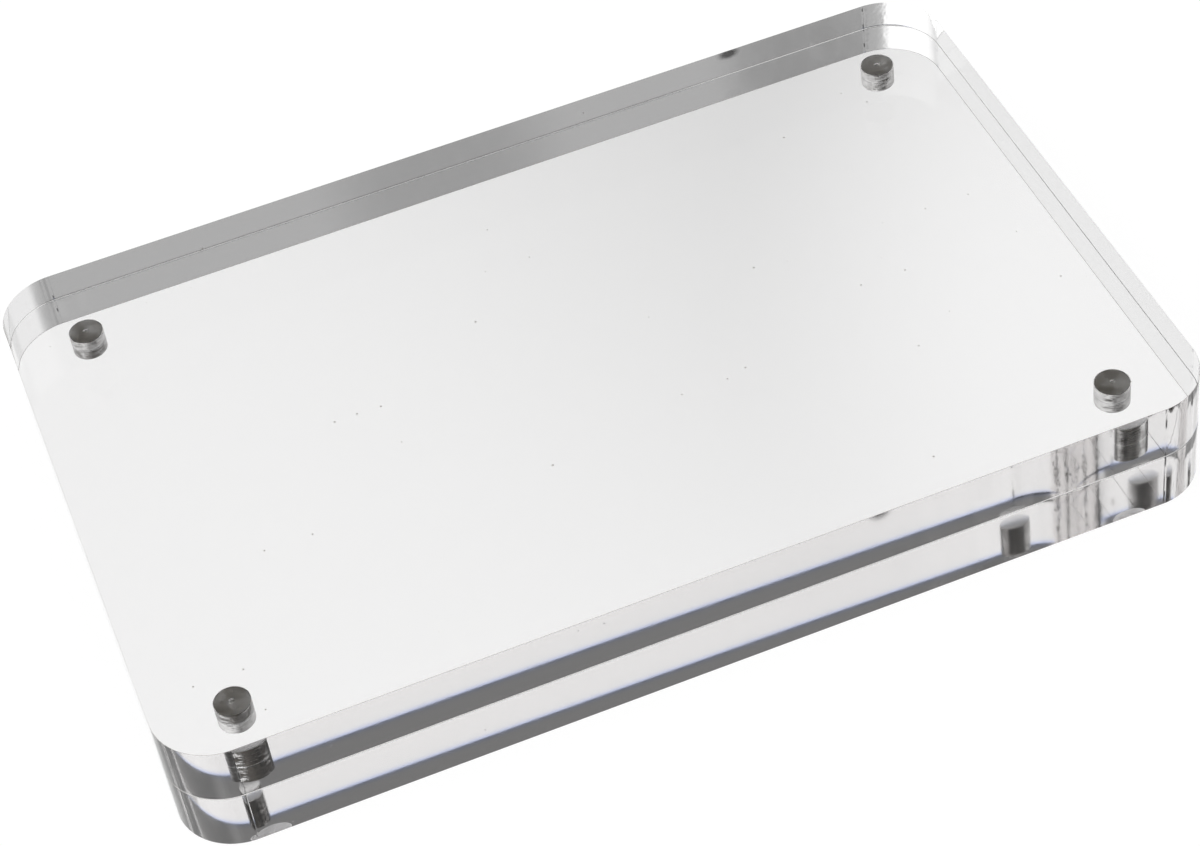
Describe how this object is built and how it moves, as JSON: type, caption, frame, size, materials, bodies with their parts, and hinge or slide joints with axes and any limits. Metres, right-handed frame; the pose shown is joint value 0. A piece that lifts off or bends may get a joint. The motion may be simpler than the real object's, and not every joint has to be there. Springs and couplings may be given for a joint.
{
  "type": "magnetic acrylic photo frame",
  "caption": "Clear acrylic block photo frame: two rounded, polished blocks closed face to face by disc magnets in the corners, holding a print between them.",
  "frame": {"origin": "centre of the rear block's outer face, which the frame lies on", "axes": "+Z out of the rear block towards the front block, +X along the length to the right, +Y towards the frame's top long edge"},
  "size_m": [0.153, 0.101, 0.0191],
  "materials": {
    "acrylic": "polished",
    "magnet": "satin",
    "adhesive": "gloss"
  },
  "bodies": {
    "rear": {"rear_block": "acrylic", "rear_magnet_top_left": "magnet", "rear_magnet_top_right": "magnet", "rear_magnet_bottom_left": "magnet", "rear_magnet_bottom_right": "magnet", "rear_adhesive_top_left": "adhesive", "rear_adhesive_top_right": "adhesive", "rear_adhesive_bottom_left": "adhesive", "rear_adhesive_bottom_right": "adhesive"},
    "front": {"front_block": "acrylic", "front_magnet_top_left": "magnet", "front_magnet_top_right": "magnet", "front_magnet_bottom_left": "magnet", "front_magnet_bottom_right": "magnet", "front_adhesive_top_left": "adhesive", "front_adhesive_top_right": "adhesive", "front_adhesive_bottom_left": "adhesive", "front_adhesive_bottom_right": "adhesive"}
  },
  "joints": [
    {"name": "front_block_lift", "type": "slide", "parent": "rear", "child": "front", "axis": [0, 0, 1], "range_m": [0, 0.04]}
  ]
}
